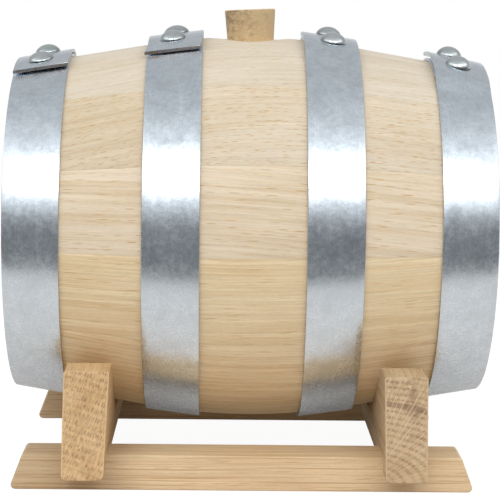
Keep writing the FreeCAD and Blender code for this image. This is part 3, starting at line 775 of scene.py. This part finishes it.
def block_skin(box, saddle, notches, edge, lean, widen):
    """Closed skin of a cradle block. Rows run from front to back; each row is an upright
    rectangle with four rounded corners. Its top follows the lands and the sawn saddle, its
    bottom the notches over the rails, and the first and last rows shrink by a quarter circle.
    The block leans by a slope about its middle height and widens towards its top."""
    low, high = (np.array(c) for c in box)
    floor_half, floor, slope = saddle
    rim = (high[2] - floor) / slope + floor_half
    tiny = 2e-5
    inner = [-rim - tiny, -rim, -floor_half, floor_half, rim, rim + tiny]
    for a, b in notches:
        inner += [a - tiny, a, b, b + tiny]
    ease, drop = rounding(edge)
    shrink = np.concatenate([ease[::-1], np.zeros(len(inner)), ease])
    y = np.concatenate([low[1] + drop[::-1], np.sort(inner), high[1] - drop])
    dip = np.clip(floor + (np.abs(y) - floor_half) * slope, floor, high[2])
    top = np.where(np.abs(y) < rim, dip, high[2]) - shrink
    notched = np.zeros(len(y), bool)
    for a, b in notches:
        notched |= (y > a - tiny / 2) & (y < b + tiny / 2)
    notch_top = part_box("front_cradle_rail")[1].z + NOTCH_GAP
    bottom = np.where(notched, notch_top, low[2]) + shrink * 0.6
    top_round = np.where(np.abs(y) > rim, edge * LAND_EASE, SADDLE_ROUND)
    foot_round = np.where(notched, NOTCH_ROUND, FOOT_ROUND)
    left, right = low[0] + shrink, high[0] - shrink
    loops = np.concatenate([corner(right, top, top_round, 0), corner(left, top, top_round, 1),
                            corner(left, bottom, foot_round, 2),
                            corner(right, bottom, foot_round, 3)], 1)
    x, z = loops[..., 0], loops[..., 1]
    middle = (low[0] + high[0]) / 2
    x = middle + (x - middle) * (1 + widen * z / high[2]) + (z - high[2] / 2) * lean
    return skin(np.stack([x, y[:, None] + 0 * x, z], -1))


def rail_skin(box, edge):
    """Closed skin of a cradle rail: a trapezoid with rounded corners, seen from the front,
    carried from front to back, its two faces' edges rounded by a quarter circle. A corner's
    circle lies on the bisector of the two sides' normals."""
    low, high = (np.array(c) for c in box)
    inset = (high[2] - low[2]) * math.tan(RAIL_END_ANGLE)
    corners = np.array([(low[0], low[2]), (high[0], low[2]),
                        (high[0] - inset, high[2]), (low[0] + inset, high[2])])
    along = np.roll(corners, -1, 0) - corners
    after = np.stack([along[:, 1], -along[:, 0]], -1) / np.linalg.norm(along, axis=1)[:, None]
    before = np.roll(after, 1, 0)
    bisector = (before + after) / np.linalg.norm(before + after, axis=1)[:, None]
    half = np.arccos(np.clip((before * after).sum(1), -1, 1)) / 2
    centres = corners - bisector * RAIL_CORNER_ROUND / np.cos(half)[:, None]
    angles = np.arctan2(before[:, 1], before[:, 0])[:, None] + half[:, None] * np.linspace(0, 2, 9)
    normals = np.stack([np.cos(angles), np.sin(angles)], -1)
    outline = (centres[:, None] + normals * RAIL_CORNER_ROUND).reshape(-1, 2)
    normals = normals.reshape(-1, 2)
    middle = corners[:, 0].mean()
    outline[:, 0] = middle + (outline[:, 0] - middle) * (high[0] - low[0]) / np.ptp(outline[:, 0])
    ease, pull = rounding(edge, 6)
    y = np.concatenate([low[1] + ease, high[1] - ease[::-1]])
    flat = outline - normals * np.concatenate([pull, pull[::-1]])[:, None, None]
    return skin(np.stack([flat[..., 0], y[:, None] + 0 * flat[..., 0], flat[..., 1]], -1))


# ---- operators: one for each piece or group of like pieces ----

# oak of the front staves: slant, bow and tilt of the lines, shares of pores, pale and dark
# lines, contrast of the bands, length of a pore, and factors on the colour
# the factors on the colour go from dimmer on the top staves 0 to 2 to warmer and brighter on the
# lower front staves 3 to 6: partly each stave's own tone, partly painted light that stands in for
# how the shaded lower side of the cask looks
STAVE_LOOKS = {
    0: ((-0.03, 0.3, 0.2, 0.10, 0.3, 0.05, 0.3, 0.005, (0.97, 0.98, 1.02)), {}),
    1: ((0.07, -0.2, 0.25, 0.35, 0.35, 0.06, 0.4, 0.005, (0.945, 0.955, 0.975)),
        dict(strength=0.7)),
    2: ((0.06, -0.6, 0.3, 0.9, 0.35, 0.05, 0.5, 0.0052, (0.96, 0.945, 0.925)),
        dict(left_tone=(0.95, 0.92, 0.86))),
    3: ((-0.06, -0.2, 0.15, 0.5, 0.7, 0.15, 0.8, 0.009, (1.05, 1.015, 0.98)), dict(row=0.0032)),
    4: ((0.01, 0.1, 0.2, 0.45, 0.35, 0.5, 0.7, 0.012, (1.10, 1.03, 0.88)),
        dict(row=0.0018, strength=0.7)),
    5: ((-0.02, 0.2, 0.3, 0.55, 0.4, 0.6, 0.8, 0.010, (1.09, 1.01, 0.86)),
        dict(row=0.0020, strength=0.7)),
    6: ((0.03, 0.0, 0.2, 0.6, 0.3, 0.4, 0.8, 0.009, (1.09, 1.01, 0.82)), dict(strength=0.7)),
}


def stave_look(number):
    """Look of a stave; those not listed vary about the middle of the range."""
    wave = math.sin(number * 2.4)
    values, more = STAVE_LOOKS.get(number, ((
        0.05 * wave, 0.3 * math.cos(number * 1.7), 0.2 + 0.1 * wave,
        0.65 + 0.2 * math.cos(number * 3.1), 0.4 + 0.2 * wave, 0.25 - 0.2 * wave, 0.6,
        0.007 + 0.002 * wave, (0.98 + 0.02 * wave, 0.95 + 0.04 * wave, 0.90 + 0.07 * wave)), {}))
    keys = ("slant", "bow", "tilt", "pores", "pale", "lines", "contrast", "dash", "tone")
    return dict(zip(keys, values), seed=number + 1, **more)


def cut_hole(piece, cutter):
    """Takes a turned cutter out of a piece and keeps the result as its mesh."""
    modifier = piece.modifiers.new("hole", "BOOLEAN")
    modifier.operation, modifier.solver, modifier.object = "DIFFERENCE", "EXACT", cutter
    bpy.context.view_layer.update()
    shown = piece.evaluated_get(bpy.context.evaluated_depsgraph_get())
    mesh = bpy.data.meshes.new_from_object(shown)
    piece.modifiers.remove(modifier)
    piece.data = mesh
    bpy.data.objects.remove(cutter)
    mesh.set_sharp_from_angle(angle=math.radians(30))


class CASK_OT_staves(bpy.types.Operator):
    """Sets up the staves, each with its own run of oak"""
    bl_idname = "cask.staves"
    bl_label = "Staves"

    def execute(self, context):
        sizes = context.scene.cask_sizes
        start = -STAVE_WIDTHS[0] / 2
        for number, width in enumerate(STAVE_WIDTHS):
            node = "stave_%02d" % number if number else "bung_stave"
            material = stave_oak(node + "_oak", start + width / 2, stave_look(number))
            body = stave_skin(start, width, sizes.stave_edge, sizes.stave_end_edge,
                              0 if number else sizes.bung_dish)
            piece = make_piece(node + "_wood", [body], "cask", material, [node])
            if number == 0:
                ends = np.array([BUNG_LOW, BUNG_HIGH])
                bore = turned_skin(BILGE_TOP, (0, 0, 1),
                                   BORE_RADIUS + (ends - BUNG_HIGH) * BORE_TAPER, ends)
                cut_hole(piece, make_mesh("bung_bore", [bore]))
            start += width
        return {"FINISHED"}


class CASK_OT_heads(bpy.types.Operator):
    """Finishes the boards and dowels of both heads in oak"""
    bl_idname = "cask.heads"
    bl_label = "Heads"

    def execute(self, context):
        colours = context.scene.cask_colours
        boards = sorted(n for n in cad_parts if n.endswith("_board"))
        for i, (node, tone) in enumerate(zip(boards, (1.0, 0.94, 1.03, 0.92, 1.0, 0.96))):
            light, dark = (tint(shade, 0.97 * tone, 0.93 * tone, 0.86 * tone)
                           for shade in (colours.oak_light, colours.oak_dark))
            finish_node(node, board_oak(
                node + "_oak", (0, math.pi / 2, 0), (0.4 * i, 0.13 * i, 0.21 * i), light, dark,
                colours.oak_pores, pores=0.6, pale=0.4, lines=0.35, contrast=0.9, dash=0.010,
                joint=HEAD_JOINT))
        dowel = turned_wood("dowel_oak", (math.pi / 2, 0, 0), (0, 0, 0))
        for node in ("tap_head_dowels", "plain_head_dowels"):
            finish_node(node, dowel)
        return {"FINISHED"}


class CASK_OT_hoops(bpy.types.Operator):
    """Bends the four hoops round the staves and laps their ends"""
    bl_idname = "cask.hoops"
    bl_label = "Hoops"

    def execute(self, context):
        sizes, colours = context.scene.cask_sizes, context.scene.cask_colours
        for i, (name, (x, free, inner, *free_end)) in enumerate(HOOPS.items()):
            material = galvanised(name + "_zinc", colours.steel, 0.26, 3.7 * i + 1.3)
            body = strip_skin(x, free[0], inner[0], free_end, sizes.hoop_edge,
                              sizes.hoop_wander, i + 0.5)
            piece = make_piece(name + "_strip", [body], "cask", material, [name])
            values = np.zeros((len(piece.data.vertices) // ROW_POINTS, ROW_POINTS))
            values[:, SIDE_EDGES] = 0.6
            values[-1] = 1
            mark_points(piece, "cut_edge", values.ravel())
        return {"FINISHED"}


class CASK_OT_rivets(bpy.types.Operator):
    """Sets two domed rivets in the lap of each hoop"""
    bl_idname = "cask.rivets"
    bl_label = "Rivets"

    def execute(self, context):
        material = plated("rivet_zinc", context.scene.cask_colours.zinc, 0.24)
        # how much painted shade each point takes: all of it on the shank, rising towards the
        # head's rim
        rim = np.repeat([1, 1, *np.sin(DOME_TURN) ** 6], DOME_SIDES)
        for name, (x, *rivets, _, _, _, _, lift) in HOOPS.items():
            skins = [dome_skin(*rivet_place(x, angle, shift, lift), height)
                     for angle, shift, height in rivets]
            piece = make_piece(name + "_rivet_heads", skins, "cask", material, [name + "_rivets"],
                               50.0)
            mark_points(piece, "rim", np.tile(rim, 2))
        return {"FINISHED"}


class CASK_OT_bung(bpy.types.Operator):
    """Turns the tapered bung, its top sawn a little out of square"""
    bl_idname = "cask.bung"
    bl_label = "Bung"

    def execute(self, context):
        body = peg_skin(BILGE_TOP, (0, 0, 1), BUNG_LOW, BUNG_HIGH, BUNG_RADIUS, BUNG_HIGH,
                        BUNG_TAPER, context.scene.cask_sizes.bung_edge, 7,
                        tip_slope=BUNG_TOP_SLOPE, lean=BUNG_LEAN)
        material = turned_wood("bung_mottled", (0, 0, 0), (0, 0, -BILGE_TOP[2]), (-11.0, 6.0))
        make_piece("bung_turned", [body], "bung", material, ["bung"])
        return {"FINISHED"}


class CASK_OT_tap_plug(bpy.types.Operator):
    """Turns the small plug that closes the tap hole"""
    bl_idname = "cask.tap_plug"
    bl_label = "Tap hole plug"

    def execute(self, context):
        low, high = (c.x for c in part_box("tap_hole_plug"))
        body = peg_skin(PLUG_BASE, (1, 0, 0), low, high, PLUG_RADIUS, PLUG_FACE, PLUG_TAPER,
                        PLUG_EDGE, 0, sides=64)
        material = turned_wood("tap_plug_mottled", (0, math.pi / 2, 0), (0.3, 0.2, 0.1))
        make_piece("tap_hole_plug_turned", [body], "tap_plug", material, ["tap_hole_plug"])
        return {"FINISHED"}


# the blocks' end grain: the pith's place and how flat the rings lie, widths of a ring and of
# the flecks' row in it, sizes and shares of flecks and rays, a greyer band (middle, half width,
# strength), and how the block leans in degrees and widens
BLOCK_LOOKS = {
    "left_cradle_block": dict(
        pith=(-0.137, -0.156), flat=1.0, reach=0.2, ring=0.0039, wander=0.0022, row_end=0.62,
        slide=-0.06, fleck_gap=0.00095, fleck_length=0.0030, share=0.9, strength=0.62,
        ray_gap=0.0008, rays=0.25, band=(0.30, 0.002, 0.0), grey=0.0, rows=0.12, seed=11.0,
        lean=2.3, widen=0.09),
    "right_cradle_block": dict(
        pith=(0.0555, 0.0055), flat=0.62, reach=0.045, ring=0.0029, wander=0.0012, row_end=0.42,
        slide=0.0, fleck_gap=0.0012, fleck_length=0.0019, share=0.95, strength=0.68,
        ray_gap=0.0011, rays=0.7, band=(0.0418, 0.0017, 0.85), grey=0.9, rows=0.35, seed=4.0,
        lean=-1.3, widen=0.045),
}


class CASK_OT_blocks(bpy.types.Operator):
    """Saws the two cradle blocks with their saddles and notches"""
    bl_idname = "cask.blocks"
    bl_label = "Cradle blocks"

    def execute(self, context):
        sizes, colours = context.scene.cask_sizes, context.scene.cask_colours
        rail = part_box("front_cradle_rail")
        front, back = rail[0].y - NOTCH_GAP, rail[1].y + NOTCH_GAP
        slope = math.tan(SADDLE_ANGLE)
        for name, light in (("left_cradle_block", colours.left_block),
                            ("right_cradle_block", colours.right_block)):
            look, box = BLOCK_LOOKS[name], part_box(name)
            seat = float(surface(min(abs(box[0].x), abs(box[1].x)))) + SEAT_GAP
            floor = AXIS_HEIGHT - seat - SADDLE_DROP
            flank = AXIS_HEIGHT - seat / math.cos(SADDLE_ANGLE)
            body = block_skin(box, ((floor - flank) / slope, floor, slope),
                              [(front, back), (-back, -front)], sizes.block_edge,
                              math.tan(math.radians(look["lean"])), look["widen"])
            material = block_oak(name + "_oak", light, colours.block_flecks, look)
            make_piece(name + "_wood", [body], "cradle", material, [name], 30.0)
        return {"FINISHED"}


class CASK_OT_rails(bpy.types.Operator):
    """Planes the two cradle rails and finishes the screws"""
    bl_idname = "cask.rails"
    bl_label = "Cradle rails"

    def execute(self, context):
        sizes, colours = context.scene.cask_sizes, context.scene.cask_colours
        dark = tuple(c * 0.6 + d * 0.4 for c, d in zip(colours.rail_light, colours.rail_dark))
        for i, name in enumerate(("front_cradle_rail", "rear_cradle_rail")):
            body = rail_skin(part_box(name), sizes.rail_edge)
            material = board_oak(name + "_oak", (0.9, 0, 0), (0.3 * i, 0.1, 0.2 * i),
                                 colours.rail_light, dark, colours.rail_dark, pores=0.6,
                                 pale=0.4, lines=0.85, contrast=0.45, dash=0.014, row=0.0022,
                                 strength=0.7, fine=1.6, left_shade=0.80)
            make_piece(name + "_wood", [body], "cradle", material, [name], 30.0)
        finish_node("cradle_screws", plated("screw_zinc", (0.62, 0.61, 0.58), 0.35))
        return {"FINISHED"}


class CASK_OT_stage(bpy.types.Operator):
    """Lays the floor and sets the lamps, the room light and the camera"""
    bl_idname = "cask.stage"
    bl_label = "Stage"

    def execute(self, context):
        scene = context.scene
        scene.view_settings.view_transform = "Standard"
        make_floor(scene.cask_colours.floor)
        make_room(scene.cask_light.room)
        for name, yaw in (("soft_lamp_left", LAMP_YAW), ("soft_lamp_right", -LAMP_YAW)):
            lamp = bpy.data.lights.new(name, "AREA")
            lamp.shape, lamp.energy = "RECTANGLE", scene.cask_light.lamp_watts
            lamp.size, lamp.size_y = LAMP_SIZE
            aim(name, lamp, LAMP_TARGET, yaw, LAMP_PITCH, LAMP_DISTANCE)
        lens = bpy.data.cameras.new("camera")
        lens.sensor_width, lens.lens, lens.clip_end = SENSOR, SENSOR * FOCAL_SHARE, 10.0
        scene.camera = aim("camera", lens, CAMERA_PLACE, CAMERA_YAW, CAMERA_PITCH,
                           roll=CAMERA_ROLL)
        return {"FINISHED"}


def shown_white(tree, output, white, plain, rule):
    """Ends a tree in its white shader for some rays and its plain one for the others, by a rule
    on whether a ray comes from the camera, a reflection or glass."""
    camera, glossy, through = (add_node(tree, "ShaderNodeLightPath", out="Is %s Ray" % kind)
                               for kind in ("Camera", "Glossy", "Transmission"))
    both = plain.node("ShaderNodeMixShader", (), {
        0: rule(camera + through, glossy), 1: plain, 2: white})
    both.node(output, (), {"Surface": both})


def make_floor(base):
    """Pale floor that looks white to the camera and keeps the object's shadow."""
    mesh = bpy.data.meshes.new("floor")
    mesh.from_pydata(FLOOR_CORNERS, [], [(0, 1, 2, 3)])
    floor = add_object("floor", mesh)
    material = bpy.data.materials.new("floor_pale")
    tree = cleared(material)
    plain = add_node(tree, "ShaderNodeBsdfDiffuse", (), {"Color": base})
    white = add_node(tree, "ShaderNodeEmission", (), {"Color": (1, 1, 1), "Strength": 1.15})
    shown_white(tree, "ShaderNodeOutputMaterial", white, plain,
                lambda seen, glossy: seen * 0.82 + glossy * 0.05)
    mesh.materials.append(material)


def make_room(strength):
    """Room light by direction: white to the camera, a bright band in front at the height of
    the lamps, dimmer below and above it, and a pale back that looks white low down in metal."""
    world = bpy.data.worlds.new("room")
    bpy.context.scene.world = world
    tree = cleared(world)
    _, y, z = add_node(tree, "ShaderNodeTexCoord", out="Generated").parts()
    front = (z.step(0.07, 0.47, 0.20, 1.0) + z.step(0.36, 0.56, 0.0, 1.2)
             - z.step(0.58, 0.81, 0.0, 1.35) - z.step(0.83, 1.0, 0.0, 0.27))
    back = z.step(0.02, 0.45, 0.90, 0.54)
    level = front + y.step(-0.25, 0.35) * (back - front)
    room = add_node(tree, "ShaderNodeBackground", (), {
        "Color": (1.0, 1.0, 0.995), "Strength": level * strength})
    white = add_node(tree, "ShaderNodeBackground", (), {"Color": (1, 1, 1), "Strength": 1.0})

    def low_behind(seen, glossy):
        seen = seen + glossy * y.step(0.0, 0.4) * z.step(0.28, 0.05)
        return seen.maths("MINIMUM", seen, 1.0)

    shown_white(tree, "ShaderNodeOutputWorld", white, room, low_behind)


def aim(name, data, target, yaw, pitch, distance=0.0, roll=0.0):
    """New lamp or camera that looks at a target from a distance: towards the back, turned to
    the right by a yaw, down by a pitch, and about its own view by a roll."""
    ahead = Vector((math.sin(yaw) * math.cos(pitch), math.cos(yaw) * math.cos(pitch),
                    -math.sin(pitch)))
    thing = add_object(name, data)
    thing.matrix_world = (Matrix.Translation(Vector(target) - ahead * distance)
                          @ ahead.to_track_quat("-Z", "Y").to_matrix().to_4x4()
                          @ Matrix.Rotation(roll, 4, "Z"))
    return thing


class CASK_PT_panel(bpy.types.Panel):
    """Lists the steps that build the cask"""
    bl_idname = "CASK_PT_panel"
    bl_label = "Oak cask"
    bl_space_type = "VIEW_3D"
    bl_region_type = "UI"
    bl_category = "Oak cask"

    def draw(self, context):
        for name in GROUPS:
            box, group = self.layout.box(), getattr(context.scene, name)
            for key in group.__annotations__:
                box.prop(group, key)
        for step in STEPS:
            self.layout.operator(step.bl_idname)


STEPS = (CASK_OT_staves, CASK_OT_heads, CASK_OT_hoops, CASK_OT_rivets, CASK_OT_bung,
         CASK_OT_tap_plug, CASK_OT_blocks, CASK_OT_rails, CASK_OT_stage)
GROUPS = {"cask_sizes": CaskSizes, "cask_colours": CaskColours, "cask_light": CaskLight}


def register():
    for item in (*GROUPS.values(), *STEPS, CASK_PT_panel):
        bpy.utils.register_class(item)
    for key, group in GROUPS.items():
        setattr(bpy.types.Scene, key, bpy.props.PointerProperty(type=group))


def unregister():
    for key in GROUPS:
        delattr(bpy.types.Scene, key)
    for item in (CASK_PT_panel, *reversed(STEPS), *reversed(tuple(GROUPS.values()))):
        bpy.utils.unregister_class(item)


def main():
    """Registers the add-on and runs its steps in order."""
    register()
    for step in STEPS:
        group, name = step.bl_idname.split(".")
        if getattr(getattr(bpy.ops, group), name)() != {"FINISHED"}:
            raise RuntimeError("step %s did not finish" % step.bl_idname)


if __name__ == "__main__":
    main()
